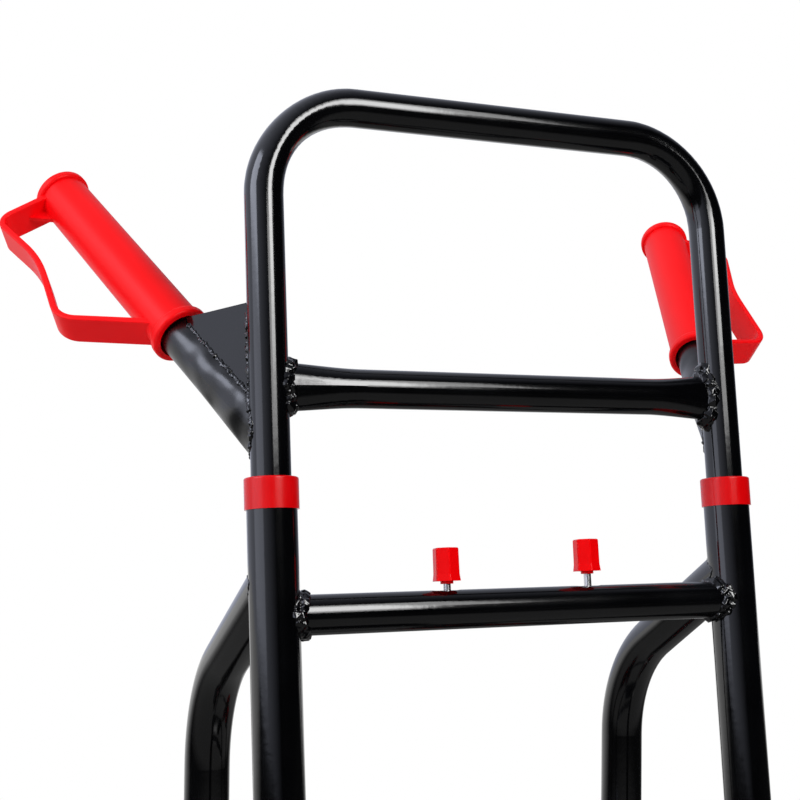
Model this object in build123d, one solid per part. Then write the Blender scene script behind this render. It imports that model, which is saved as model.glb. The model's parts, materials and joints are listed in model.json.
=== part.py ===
from build123d import *
import os
from math import cos, pi, radians, sin, sqrt, tan

# Stair climbing hand truck, in millimetres.
# +X is to the right seen from the load side, +Y is to the rear and +Z is up.
# The origin is on the floor, under the middle of the toe plate.
# The upright is drawn on its own slant: there Z runs along the rails and is 0 at the floor.

# Clearances
running_gap = 0.08
side_gap = 0.5
hole_clearance = 0.4

# Bevels of nuts, bolt heads and bolt ends
hex_bevel_angle = 30.0
bolt_end_bevel = 1.0

# Rails and their crossbars
rail_spacing = 340.0
rail_wall = 1.8
rail_lean = 5.5
rail_end_height = 5.0
rail_top_rise = 82.0
bar_diameter = 25.4
bar_wall = 1.8
lock_bar_height = 680.0
middle_bar_height = 430.0
lower_bar_height = 215.0

# Collars and plugs of the rails
sleeve_wall = 1.32
sleeve_length = 24.0
collar_wall = 1.3
collar_height = 20.0
collar_cap = 3.5
collar_round = 1.4
plug_flange = 2.5
plug_depth = 14.0

# Handle loop, which slides in the rails
leg_diameter = 25.4
leg_wall = 1.8
handle_rise = 332.0
handle_bend_radius = 65.0
handle_bend_flattening = 2.4
handle_bar_rise = 143.0
handle_travel = 250.0
leg_end_margin = 30.0
glide_length = 14.0
crimp_height = 32.0
crimp_length = 62.0

# Handle stubs, their gussets and grips
stub_rise = 110.0
stub_flare_angle = 26.0
stub_tilt_angle = 43.9
stub_diameter = 30.0
stub_wall = 2.0
stub_crimp_height = 35.0
stub_crimp_length = 74.0
gusset_gap = 1.0
gusset_thickness = 4.0
gusset_offset = 5.0
grip_start = 112.0
grip_length = 187.0
grip_wall = 3.05
grip_draft = 0.35
grip_end_wall = 9.0
grip_near_flange = 7.0
grip_far_flange = 5.5
grip_near_lip = 2.6
grip_far_lip = 2.3
grip_mouth = 1.6
grip_mouth_depth = 10.0
grip_dome = 3.0

# Knuckle guard of each grip: the strap's corners lie at these distances out from and along the grip
left_guard_turn = 42.0
right_guard_turn = 24.0
right_guard_bulge = 2.5
right_guard_shift = 17.0
guard_width = 23.0
guard_thickness = 4.5
guard_edge_round = 1.2
guard_root = 9.0
guard_near_peak = 62.0
guard_far_peak = 53.0
guard_dip = 46.2
guard_near_root = 12.0
guard_near_corner = 60.0
guard_dip_place = 120.7
guard_far_arm = 177.0
guard_near_radius = 20.0
guard_dip_radius = 98.0
guard_far_radius = 10.0
guard_web_size = 15.0
guard_web_thickness = 3.0

# Lock: two sprung pins in the lock bar, each drawn back by a knob on a bolt
knob_offset = 52.5
lock_pin_diameter = 12.0
lock_pin_round = 2.0
lock_pin_clear = 0.8
lock_draw = 7.0
lock_throw = 8.0
lock_land_length = 26.0
lock_spigot_diameter = 10.5
lock_spigot_length = 8.0
spring_wire = 1.6
spring_turns = 11
knob_bolt_diameter = 5.0
knob_bolt_depth = 5.0
knob_bolt_grip = 12.0
knob_height = 21.5
knob_top_width = 17.7
knob_waist_width = 18.0
knob_bottom_width = 19.3
knob_skirt = 4.5
knob_corner = 1.5
knob_top_round = 1.2
knob_turn = 21.0
knob_neck_diameter = 8.5
knob_neck = 1.8
left_knob_gap = 5.7
right_knob_gap = 9.6

# Rear tubes, struts and axle
rear_tube_rise = 21.2
rear_tube_drop_angle = 24.6
rear_tube_reach = 152.3
rear_bend_radius = 96.0
strut_diameter = 25.4
strut_wall = 1.8
axle_setback = 228.0
axle_diameter = 20.0
axle_end_diameter = 16.0
axle_tube_proud = 1.2
axle_tube_reach = 12.0
axle_washer_diameter = 34.0
axle_washer_thickness = 3.0
axle_nut_width = 24.0
axle_nut_height = 13.0
axle_end_spare = 2.0

# Star wheels
star_arm = 110.0
star_arm_width = 60.0
star_web_radius = 80.0
star_plate_thickness = 4.0
star_window_diameter = 28.0
star_window_place = 58.0
star_hub_wall = 4.0
bush_wall = 3.0
bush_depth = 12.0
bush_flange_width = 5.0
bush_flange = 2.0
wheel_radius = 80.0
tyre_width = 40.0
tyre_depth = 26.0
tyre_shoulder = 7.0
tyre_band_inset = 5.0
tyre_band_width = 6.0
tyre_band = 0.8
tread_groove_width = 3.0
tread_groove_depth = 2.5
tread_groove_place = 6.5
rim_lip_height = 4.0
rim_lip_width = 3.0
rim_lip_inset = 1.0
rim_wall = 7.0
rim_web = 8.0
rim_rib_width = 5.0
rim_rib_inset = 5.0
rim_spokes = 6
rim_window_diameter = 15.0
wheel_hub_width = 50.0
wheel_hub_diameter = 34.0
wheel_bolt_diameter = 12.0
wheel_bolt_head_width = 18.0
wheel_bolt_head = 7.5
wheel_bolt_spare = 2.0
wheel_nut_height = 10.0

# Toe plate
toe_width = 480.0
toe_depth = 235.0
toe_thickness = 4.0
toe_bend_radius = 8.0
toe_corner_radius = 35.0
toe_edge_chamfer = 1.5
toe_lip_height = 72.0
toe_lip_width = 400.0
toe_bolt_diameter = 8.0
toe_bolt_low = 30.0
toe_bolt_pitch = 26.0
toe_bolt_head_diameter = 18.0
toe_bolt_head = 4.5
toe_bolt_spare = 2.0
toe_nut_width = 13.0
toe_nut_height = 6.5
toe_nut_saddle = 1.5

# Worked out from the sizes above
half_spacing = rail_spacing / 2
leg_bore = leg_diameter - 2 * leg_wall
collar_bore = leg_diameter + 2 * running_gap
rail_bore = collar_bore + 2 * sleeve_wall
rail_diameter = rail_bore + 2 * rail_wall
bar_bore = bar_diameter - 2 * bar_wall
lean_sin = sin(radians(rail_lean))
lean_cos = cos(radians(rail_lean))
rail_top_height = lock_bar_height + rail_top_rise
rail_foot_y = rail_diameter / 2 / lean_cos + toe_depth / 2
leg_end_height = lock_bar_height - handle_travel - leg_end_margin
lock_hole_heights = [lock_bar_height - step * handle_travel / 2 for step in range(3)]
toe_bolt_heights = [toe_bolt_low, toe_bolt_low + toe_bolt_pitch]
axle_y = rail_foot_y + axle_setback
axle_z = wheel_radius + star_arm / 2
axle_tube_diameter = rail_diameter + 2 * axle_tube_proud
hub_bore = axle_diameter + 2 * running_gap + 2 * bush_wall

# Places along the axle, from the middle outwards
axle_tube_end = half_spacing + rail_diameter / 2 + axle_tube_reach
inner_plate_x = axle_tube_end + side_gap + bush_flange
wheel_x = inner_plate_x + star_plate_thickness + side_gap + wheel_hub_width / 2
outer_plate_x = wheel_x + wheel_hub_width / 2 + side_gap
axle_shoulder_x = outer_plate_x + star_plate_thickness + bush_flange + side_gap
axle_end_x = axle_shoulder_x + axle_washer_thickness + axle_nut_height + axle_end_spare

# The star's three arms: one up, two down on the floor
star_arms = {"top": 90.0, "rear": -30.0, "front": 210.0}

# The upright's slant, and the upright's own place of the axle
upright = Pos(0, rail_foot_y, 0) * Rot(X=-rail_lean)
axle_along = axle_setback * lean_sin + axle_z * lean_cos
axle_behind = axle_setback * lean_cos - axle_z * lean_sin

nodes = {}


def rod(start, end, diameter):
    """Round bar from one point to another."""
    along = Vector(*end) - Vector(*start)
    seat = Plane(origin=start, z_dir=along)
    return seat * Cylinder(diameter / 2, along.length, align=(Align.CENTER, Align.CENTER, Align.MIN))


def pipe(start, end, diameter, wall):
    """Straight tube from one point to another."""
    return rod(start, end, diameter) - rod(start, end, diameter - 2 * wall)


def bent_rod(path, diameter):
    """Round bar along a path."""
    section = Plane(path @ 0, z_dir=path % 0) * Circle(diameter / 2)
    return sweep(section, path=path)


def hexagon(across, height):
    """Six-sided bar that stands on its middle, with its corners turned off at both ends."""
    outside = across * 0.6
    bevel = (outside - across / 2) * tan(radians(hex_bevel_angle))
    bar = extrude(RegularPolygon(across / 2, 6, major_radius=False), height)
    return bar & turned(
        [
            (0, 0),
            (across / 2, 0),
            (outside, bevel),
            (outside, height - bevel),
            (across / 2, height),
            (0, height),
        ]
    )


def turned(points, axis=Axis.Z):
    """Solid of revolution about Z from radius and height pairs."""
    outline = Plane.XZ * make_face(Polyline(*points, close=True))
    return revolve(outline, axis)


def both_sides(name, right_piece):
    """Right-hand piece and its mirror image."""
    nodes["right_" + name] = right_piece
    nodes["left_" + name] = mirror(right_piece, about=Plane.YZ)


def crimped_end(diameter, end_height, length):
    """Round bar end that is pressed tall and narrow towards Z = 0."""
    sections = []
    for step in range(5):
        share = step / 4
        ease = 1 - share * share * (3 - 2 * share)
        height = diameter + (end_height - diameter) * ease
        width = sqrt(2 * diameter**2 - height**2)
        sections.append(Pos(0, 0, length * share) * Ellipse(width / 2, height / 2))
    return loft(sections)


# Rails and crossbars


def rail_axis(low, high):
    return (half_spacing, 0, low), (half_spacing, 0, high)


def solid_rails(diameter):
    """Filled rails or legs, to shape the ends of what is welded to them."""
    right = rod(*rail_axis(0, rail_top_height + handle_rise), diameter)
    return right + mirror(right, about=Plane.YZ)


def make_rail():
    rail = pipe(*rail_axis(rail_end_height, rail_top_height), rail_diameter, rail_wall)
    pin_hole = lock_pin_diameter + 2 * running_gap
    rail -= rod((0, 0, lock_bar_height), (half_spacing, 0, lock_bar_height), pin_hole)
    for height in toe_bolt_heights:
        front = (half_spacing, -rail_diameter, height)
        back = (half_spacing, rail_diameter, height)
        rail -= rod(front, back, toe_bolt_diameter + hole_clearance)
    return upright * rail


def make_crossbar(height):
    bar = pipe((-half_spacing, 0, height), (half_spacing, 0, height), bar_diameter, bar_wall)
    return bar - solid_rails(rail_diameter)


def make_lock_bar():
    bar = make_crossbar(lock_bar_height)
    slot_width = knob_bolt_diameter + 2 * hole_clearance
    slot = extrude(SlotOverall(slot_width + lock_draw + lock_throw, slot_width), bar_diameter)
    for side in (-1, 1):
        slot_middle = knob_offset + (lock_throw - lock_draw) / 2
        bar -= Pos(side * slot_middle, 0, lock_bar_height) * slot
    return upright * bar


def make_collar():
    """Cap ring over the rail's end, with the sleeve that guides the leg."""
    top = rail_top_height + collar_cap
    foot = rail_top_height - sleeve_length
    outside = rail_diameter / 2 + collar_wall
    ring = turned(
        [
            (collar_bore / 2, foot),
            (rail_bore / 2, foot),
            (rail_bore / 2, rail_top_height),
            (rail_diameter / 2, rail_top_height),
            (rail_diameter / 2, top - collar_height),
            (outside, top - collar_height),
            (outside, top),
            (collar_bore / 2, top),
        ]
    )
    ring = fillet(ring.edges().group_by(Axis.Z)[-1].sort_by(SortBy.RADIUS)[-1], collar_round)
    return upright * Pos(half_spacing, 0, 0) * ring


def make_rail_plug():
    plug = turned(
        [
            (0, rail_end_height - plug_flange),
            (rail_diameter / 2, rail_end_height - plug_flange),
            (rail_diameter / 2, rail_end_height),
            (rail_bore / 2, rail_end_height),
            (rail_bore / 2, rail_end_height + plug_depth),
            (0, rail_end_height + plug_depth),
        ]
    )
    return upright * Pos(half_spacing, 0, 0) * plug


# Rear tubes, struts and axle


def rear_tube_path():
    """Out of the back of the rail, down in one bend, and on to the axle."""
    start = (half_spacing, 0, lock_bar_height + rear_tube_rise)
    drop = rear_tube_reach * tan(radians(rear_tube_drop_angle))
    corner = (half_spacing, rear_tube_reach, start[2] - drop)
    end = (half_spacing, axle_behind, axle_along)
    return FilletPolyline(start, corner, end, radius=rear_bend_radius)


def axle_rod(diameter):
    """Bar on the axle's line, in the upright's own frame."""
    left = (-axle_tube_end, axle_behind, axle_along)
    right = (axle_tube_end, axle_behind, axle_along)
    return rod(left, right, diameter)


def lock_bar_rod():
    return rod((-half_spacing, 0, lock_bar_height), (half_spacing, 0, lock_bar_height), bar_diameter)


def make_rear_tube():
    path = rear_tube_path()
    tube = bent_rod(path, rail_diameter) - bent_rod(path, rail_diameter - 2 * rail_wall)
    tube -= rod(*rail_axis(0, rail_top_height), rail_diameter)
    tube -= lock_bar_rod()
    return upright * (tube - axle_rod(axle_tube_diameter))


def make_strut():
    """Level with the axle, from the rail to the axle tube."""
    front = (half_spacing, 0, axle_along)
    back = (half_spacing, axle_behind, axle_along)
    strut = pipe(front, back, strut_diameter, strut_wall)
    strut -= rod(*rail_axis(0, rail_top_height), rail_diameter)
    strut -= bent_rod(rear_tube_path(), rail_diameter)
    return upright * (strut - axle_rod(axle_tube_diameter))


def on_axle(piece):
    """Piece drawn about the X axis, moved to the axle."""
    return Pos(0, axle_y, axle_z) * piece


def along_x(piece, place=0.0):
    """Piece drawn about Z from Z = 0, turned to run along +X from a place."""
    return Pos(place, 0, 0) * Rot(Y=90) * piece


def make_axle():
    axle = rod((-axle_shoulder_x, 0, 0), (axle_shoulder_x, 0, 0), axle_diameter)
    ends = rod((-axle_end_x, 0, 0), (axle_end_x, 0, 0), axle_end_diameter)
    axle += chamfer(ends.edges().filter_by(GeomType.CIRCLE), bolt_end_bevel)
    return on_axle(axle)


def make_axle_tube():
    wall = (axle_tube_diameter - axle_diameter) / 2
    return on_axle(pipe((-axle_tube_end, 0, 0), (axle_tube_end, 0, 0), axle_tube_diameter, wall))


def make_axle_washer():
    start = (axle_shoulder_x, 0, 0)
    end = (axle_shoulder_x + axle_washer_thickness, 0, 0)
    return on_axle(rod(start, end, axle_washer_diameter) - rod(start, end, axle_end_diameter))


def make_axle_nut():
    nut = hexagon(axle_nut_width, axle_nut_height) - extrude(Circle(axle_end_diameter / 2), axle_nut_height)
    return on_axle(along_x(nut, axle_shoulder_x + axle_washer_thickness))


# Toe plate


def make_toe_plate():
    """Plate bent up against the front of the rails."""
    middle = toe_thickness / 2
    front_offset = rail_diameter / 2 + middle
    corner_along = (middle - front_offset * lean_sin) / lean_cos
    corner_y = corner_along * lean_sin - front_offset * lean_cos
    top_y = toe_lip_height * lean_sin - front_offset * lean_cos
    top_z = toe_lip_height * lean_cos + front_offset * lean_sin
    front_y = -rail_diameter / 2 / lean_cos - toe_depth
    fold = FilletPolyline((front_y, middle), (corner_y, middle), (top_y, top_z), radius=toe_bend_radius)
    plate = extrude(Plane.YZ * trace(fold, toe_thickness), toe_width / 2, both=True)
    corners = plate.edges().filter_by(Axis.Z).group_by(Axis.Y)[0]
    plate = fillet(corners, toe_corner_radius)
    front_edge = plate.edges().filter_by(Axis.X).group_by(Axis.Y)[0].sort_by(Axis.Z)[-1]
    plate = chamfer(front_edge, toe_edge_chamfer)
    side_cut = Box(toe_width, toe_depth, toe_lip_height * 2, align=(Align.MIN, Align.CENTER, Align.MIN))
    side_cut = Pos(toe_lip_width / 2, corner_y, toe_thickness + toe_bend_radius) * side_cut
    plate -= side_cut
    plate -= mirror(side_cut, about=Plane.YZ)
    plate = Pos(0, rail_foot_y, 0) * plate
    for side in (-1, 1):
        for height in toe_bolt_heights:
            front = (side * half_spacing, -2 * rail_diameter, height)
            back = (side * half_spacing, 0, height)
            plate -= upright * rod(front, back, toe_bolt_diameter + hole_clearance)
    return plate


def toe_bolt(height):
    """Round-headed bolt through the lip and the rail."""
    face = -rail_diameter / 2 - toe_thickness
    end = rail_diameter / 2 + toe_nut_height + toe_bolt_spare
    shank = rod((half_spacing, face, height), (half_spacing, end, height), toe_bolt_diameter)
    shank = chamfer(shank.edges().group_by(Axis.Y)[-1], bolt_end_bevel)
    head_top = (half_spacing, face - toe_bolt_head, height)
    head = rod(head_top, (half_spacing, face, height), toe_bolt_head_diameter)
    head = fillet(head.edges().group_by(Axis.Y)[0], toe_bolt_head * 0.8)
    return upright * (shank + head)


def toe_nut(height):
    """Nut whose foot is shaped to the back of the rail."""
    length = toe_nut_height + toe_nut_saddle
    nut = hexagon(toe_nut_width, length) - extrude(Circle(toe_bolt_diameter / 2), length)
    nut = Pos(half_spacing, rail_diameter / 2 - toe_nut_saddle, height) * Rot(X=-90) * nut
    return upright * (nut - rod(*rail_axis(rail_end_height, rail_top_height), rail_diameter))


# Handle


def flattened_bend(arc, diameter, flattening):
    """Round bar along an arc in the X and Z plane, pressed flatter towards its middle."""
    sections = []
    for step in range(5):
        share = step / 4
        height = diameter - flattening * sin(pi * share) ** 2
        width = sqrt(2 * diameter**2 - height**2)
        seat = Plane(arc @ share, x_dir=(0, 1, 0), z_dir=arc % share)
        sections.append(seat * Ellipse(width / 2, height / 2))
    return sweep(sections, path=arc, multisection=True)


def loop_rod(diameter):
    """Filled handle loop: two legs, two bends and the top bar."""
    top = lock_bar_height + handle_rise
    shoulder_x = half_spacing - handle_bend_radius
    shoulder_z = top - handle_bend_radius
    arc = Plane.XZ * CenterArc((shoulder_x, shoulder_z), handle_bend_radius, 0, 90)
    side = flattened_bend(arc, diameter, handle_bend_flattening)
    side += rod(*rail_axis(leg_end_height, shoulder_z), diameter)
    top_bar = rod((-shoulder_x, 0, top), (shoulder_x, 0, top), diameter)
    return side + top_bar + mirror(side, about=Plane.YZ)


def make_handle_loop():
    loop = loop_rod(leg_diameter) - loop_rod(leg_bore)
    for height in lock_hole_heights:
        line = (-half_spacing, 0, height), (half_spacing, 0, height)
        loop -= rod(*line, lock_pin_diameter + 2 * hole_clearance)
    return upright * loop


def make_handle_bar():
    """Crossbar whose ends are pressed tall where they meet the legs."""
    straight = half_spacing - crimp_length

    def bar(diameter, end_height):
        right = along_x(crimped_end(diameter, end_height, crimp_length))
        right = Pos(half_spacing, 0, 0) * Rot(Z=180) * Rot(X=90) * right
        middle = rod((-straight, 0, 0), (straight, 0, 0), diameter)
        return middle + right + mirror(right, about=Plane.YZ)

    height = lock_bar_height + handle_bar_rise
    shell = bar(bar_diameter, crimp_height) - bar(bar_bore, crimp_height - 2 * bar_wall)
    return upright * (Pos(0, 0, height) * shell - solid_rails(leg_diameter))


def make_leg_glide():
    """Plug in the leg's foot that fits the rail's bore."""
    foot = leg_end_height
    glide = turned(
        [
            (0, foot - glide_length / 2),
            (rail_bore / 2 - running_gap, foot - glide_length / 2),
            (rail_bore / 2 - running_gap, foot),
            (leg_bore / 2, foot),
            (leg_bore / 2, foot + glide_length),
            (0, foot + glide_length),
        ]
    )
    return upright * Pos(half_spacing, 0, 0) * glide


flare_sin = sin(radians(stub_flare_angle))
flare_cos = cos(radians(stub_flare_angle))
tilt_sin = sin(radians(stub_tilt_angle))
tilt_cos = cos(radians(stub_tilt_angle))
stub_length = grip_start + grip_length - grip_end_wall
stub_seat = Plane(
    origin=(half_spacing, 0, lock_bar_height + stub_rise),
    x_dir=(flare_cos, -flare_sin, 0),
    z_dir=(flare_sin * tilt_cos, flare_cos * tilt_cos, tilt_sin),
)


def stub_rod(diameter, end_height):
    """Filled stub from the leg's axis to its end, pressed tall at the leg."""
    straight = extrude(Circle(diameter / 2), stub_length - stub_crimp_length)
    return crimped_end(diameter, end_height, stub_crimp_length) + Pos(0, 0, stub_crimp_length) * straight


def leg_rod():
    return rod(*rail_axis(leg_end_height, lock_bar_height + handle_rise), leg_diameter)


def make_stub():
    shell = stub_rod(stub_diameter, stub_crimp_height)
    shell -= stub_rod(stub_diameter - 2 * stub_wall, stub_crimp_height - 2 * stub_wall)
    return upright * (stub_seat * shell - leg_rod())


def make_gusset():
    """Triangular plate between the leg and the top of the stub, nearer their outer side."""
    height = (grip_start - gusset_gap) * tilt_sin + stub_diameter / 2 * tilt_cos
    reach = height / tan(radians(stub_tilt_angle))
    seat = Plane(origin=stub_seat.origin, x_dir=(flare_sin, flare_cos, 0), z_dir=(flare_cos, -flare_sin, 0))
    corners = Polyline((0, 0), (0, height), (reach, height), close=True)
    plate = extrude(seat.offset(gusset_offset) * make_face(corners), gusset_thickness / 2, both=True)
    plate -= leg_rod()
    return upright * (plate - stub_seat * stub_rod(stub_diameter, stub_crimp_height))


def make_grip(turn, bulge=0, shift=0):
    """Moulded sleeve with a lip at each end, a closed far end and a knuckle guard.

    The guard's bend may stand further out by a bulge, and nearer the mouth by a shift.
    """
    bore = stub_diameter / 2
    near = bore + grip_wall + grip_draft
    far = bore + grip_wall - grip_draft
    end = grip_start + grip_length
    cap = end - grip_dome
    sleeve = turned(
        [
            (bore + grip_mouth, grip_start),
            (near + grip_near_lip, grip_start),
            (near + grip_near_lip, grip_start + grip_near_flange),
            (near, grip_start + grip_near_flange),
            (far, cap - grip_far_flange),
            (far + grip_far_lip, cap - grip_far_flange),
            (far + grip_far_lip, cap),
            (far - grip_far_lip, end),
            (0, end),
            (0, end - grip_end_wall),
            (bore, end - grip_end_wall),
            (bore, grip_start + grip_mouth_depth),
        ]
    )
    near_lip = sleeve.edges().filter_by(GeomType.CIRCLE).filter_by(
        lambda edge: abs(edge.radius - near - grip_near_lip) < running_gap
    )
    sleeve = fillet(near_lip, grip_near_lip * 0.8)
    far_lip = sleeve.edges().filter_by(GeomType.CIRCLE).filter_by(
        lambda edge: abs(edge.radius - far - grip_far_lip) < running_gap
    )
    sleeve = fillet(far_lip, grip_far_lip * 0.8)
    path = FilletPolyline(
        (guard_root, 0, grip_start + guard_near_root),
        (guard_near_peak + bulge, 0, grip_start + guard_near_corner - shift),
        (guard_dip + bulge, 0, grip_start + guard_dip_place - shift / 2),
        (guard_far_peak, 0, grip_start + guard_far_arm),
        (guard_root, 0, grip_start + guard_far_arm),
        radius=[guard_near_radius, guard_dip_radius, guard_far_radius],
    )
    section = RectangleRounded(guard_width, guard_thickness, guard_edge_round)
    strap = sweep(Plane(path @ 0, x_dir=(0, 1, 0), z_dir=path % 0) * section, path=path)
    web_root = grip_start + guard_far_arm
    web = make_face(
        Polyline(
            (bore, web_root),
            (bore + grip_wall + guard_web_size, web_root),
            (bore, web_root - guard_web_size - grip_wall),
            close=True,
        )
    )
    guard = strap + extrude(Plane.XZ * web, guard_web_thickness / 2, both=True)
    guard -= extrude(Circle(bore), end)
    return upright * stub_seat.location * Rot(Z=turn) * (sleeve + guard)


# Lock


def make_lock_pin():
    """Pin, the land that slides in the lock bar, and the spigot that centres the spring."""
    land_start = knob_offset - lock_land_length / 2
    land_end = knob_offset + lock_land_length / 2
    tip = half_spacing - leg_diameter / 2 - lock_pin_clear
    pin = rod((land_start, 0, 0), (tip, 0, 0), lock_pin_diameter)
    pin = fillet(pin.edges().group_by(Axis.X)[-1], lock_pin_round)
    pin += rod((land_start, 0, 0), (land_end, 0, 0), bar_bore - 2 * running_gap)
    pin += rod((land_start - lock_spigot_length, 0, 0), (land_start, 0, 0), lock_spigot_diameter)
    pin -= rod((knob_offset, 0, -knob_bolt_depth), (knob_offset, 0, bar_diameter), knob_bolt_diameter)
    return upright * Pos(0, 0, lock_bar_height) * pin


def make_knob_bolt(gap):
    top = bar_diameter / 2 + gap + knob_bolt_grip
    bolt = rod((knob_offset, 0, -knob_bolt_depth), (knob_offset, 0, top), knob_bolt_diameter)
    return upright * Pos(0, 0, lock_bar_height) * bolt


def make_knob(gap, turn):
    """Tapered six-sided cap with rounded corners, a flared skirt and a short neck."""
    levels = [(0, knob_bottom_width), (knob_skirt, knob_waist_width), (knob_height, knob_top_width)]
    sections = []
    for level, width in levels:
        outline = RegularPolygon(width / 2, 6)
        outline = fillet(outline.vertices(), knob_corner)
        sections.append(Pos(0, 0, level) * Rot(Z=turn) * outline)
    knob = loft(sections, ruled=True)
    knob = fillet(knob.edges().group_by(Axis.Z)[-1], knob_top_round)
    knob += Pos(0, 0, -knob_neck) * extrude(Circle(knob_neck_diameter / 2), knob_neck)
    knob -= Pos(0, 0, -knob_neck) * extrude(Circle(knob_bolt_diameter / 2), knob_neck + knob_bolt_grip)
    return upright * Pos(knob_offset, 0, lock_bar_height + bar_diameter / 2 + gap) * knob


def make_lock_spring():
    """Compression spring between the two pins."""
    land_start = knob_offset - lock_land_length / 2
    length = 2 * (land_start - side_gap) - spring_wire
    radius = (lock_spigot_diameter + spring_wire) / 2 + side_gap
    coil = Helix(length / spring_turns, length, radius)
    wire = sweep(Plane(coil @ 0, z_dir=coil % 0) * Circle(spring_wire / 2), path=coil, is_frenet=True)
    return upright * Pos(0, 0, lock_bar_height) * along_x(wire, -length / 2)


# Star wheels


def star_arm_place(angle):
    return Pos(0, star_arm * cos(radians(angle)), star_arm * sin(radians(angle)))


def make_star_plate(place):
    """Three-armed plate with a bore, a window in each arm and a hole at each wheel."""
    arm = Pos(star_arm / 2, 0) * SlotCenterToCenter(star_arm, star_arm_width)
    outline = Sketch() + [Rot(Z=angle) * arm for angle in star_arms.values()]
    inner_corners = outline.vertices().filter_by(lambda corner: Vector(*corner).length < star_arm_width)
    outline = fillet(inner_corners, star_web_radius)
    outline -= Circle(hub_bore / 2)
    for angle in star_arms.values():
        outline -= Rot(Z=angle) * Pos(star_window_place, 0) * Circle(star_window_diameter / 2)
        outline -= Rot(Z=angle) * Pos(star_arm, 0) * Circle(wheel_bolt_diameter / 2)
    return on_axle(Pos(place, 0, 0) * extrude(Plane.YZ * outline, star_plate_thickness))


def make_star_hub():
    start = (inner_plate_x + star_plate_thickness, 0, 0)
    return on_axle(pipe(start, (outer_plate_x, 0, 0), hub_bore + 2 * star_hub_wall, star_hub_wall))


def make_star_bushes():
    """Flanged plain bearings in both ends of the hub."""
    bore = axle_diameter / 2 + running_gap
    bush = turned(
        [
            (bore, -bush_flange),
            (hub_bore / 2 + bush_flange_width, -bush_flange),
            (hub_bore / 2 + bush_flange_width, 0),
            (hub_bore / 2, 0),
            (hub_bore / 2, star_plate_thickness + bush_depth),
            (bore, star_plate_thickness + bush_depth),
        ]
    )
    outer_face = outer_plate_x + star_plate_thickness
    inner_bush = along_x(bush, inner_plate_x)
    outer_bush = Pos(outer_face, 0, 0) * Rot(Y=-90) * bush
    return on_axle(inner_bush + outer_bush)


def make_wheel_bolts():
    """Headed pins through both plates, which carry the wheels."""
    head = hexagon(wheel_bolt_head_width, wheel_bolt_head)
    end = outer_plate_x + star_plate_thickness + wheel_nut_height + wheel_bolt_spare
    bolt = along_x(head, inner_plate_x - wheel_bolt_head)
    shank = rod((inner_plate_x, 0, 0), (end, 0, 0), wheel_bolt_diameter)
    bolt += chamfer(shank.edges().group_by(Axis.X)[-1], bolt_end_bevel)
    return on_axle(Part() + [star_arm_place(angle) * bolt for angle in star_arms.values()])


def make_wheel_nuts():
    nut = hexagon(wheel_bolt_head_width, wheel_nut_height)
    nut -= extrude(Circle(wheel_bolt_diameter / 2), wheel_nut_height)
    nut = along_x(nut, outer_plate_x + star_plate_thickness)
    return on_axle(Part() + [star_arm_place(angle) * nut for angle in star_arms.values()])


def make_tyre():
    """Solid tyre, seated between the rim's lips."""
    seat = wheel_radius - tyre_depth
    lip = seat + rim_lip_height
    half_seat = tyre_width / 2 - rim_lip_inset - rim_lip_width
    half_width = tyre_width / 2
    outline = make_face(
        Polyline(
            (seat, -half_seat),
            (lip, -half_seat),
            (lip, -half_width),
            (wheel_radius, -half_width),
            (wheel_radius, half_width),
            (lip, half_width),
            (lip, half_seat),
            (seat, half_seat),
            close=True,
        )
    )
    outline = fillet(outline.vertices().group_by(Axis.X)[-1], tyre_shoulder)
    band_middle = lip + tyre_band_inset + tyre_band_width / 2
    outline += Pos(band_middle, 0) * Rectangle(tyre_band_width, tyre_width + 2 * tyre_band)
    groove = Rectangle(2 * tread_groove_depth, tread_groove_width)
    for place in (-tread_groove_place, tread_groove_place):
        outline -= Pos(wheel_radius, place) * groove
    return Rot(Z=-90) * revolve(outline, Axis.Y)


def make_rim():
    """Moulded wheel: hub, web with ribs and windows, and a lipped rim."""
    seat = wheel_radius - tyre_depth
    lip = seat + rim_lip_height
    half_seat = tyre_width / 2 - rim_lip_inset - rim_lip_width
    half_rim = half_seat + rim_lip_width
    inside = seat - rim_wall
    hub = wheel_hub_diameter / 2
    bore = wheel_bolt_diameter / 2 + running_gap
    half_outline = Polyline(
        (bore, 0),
        (bore, wheel_hub_width / 2),
        (hub, wheel_hub_width / 2),
        (hub, rim_web / 2),
        (inside, rim_web / 2),
        (inside, half_rim),
        (lip, half_rim),
        (lip, half_seat),
        (seat, half_seat),
        (seat, 0),
        close=True,
    )
    half_rim_solid = revolve(make_face(half_outline), Axis.Y)
    rim = half_rim_solid + mirror(half_rim_solid, about=Plane.XZ)
    rib_length = inside - hub + 2 * side_gap
    rib = Box(rib_length, 2 * (half_rim - rim_rib_inset), rim_rib_width)
    window = Rot(X=90) * Cylinder(rim_window_diameter / 2, 2 * rim_web)
    middle = (inside + hub) / 2
    for spoke in range(rim_spokes):
        turn = 360 / rim_spokes
        rim += Rot(Y=spoke * turn) * Pos(middle, 0, 0) * rib
        rim -= Rot(Y=(spoke + 0.5) * turn) * Pos(middle, 0, 0) * window
    return Rot(Z=-90) * rim


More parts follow.
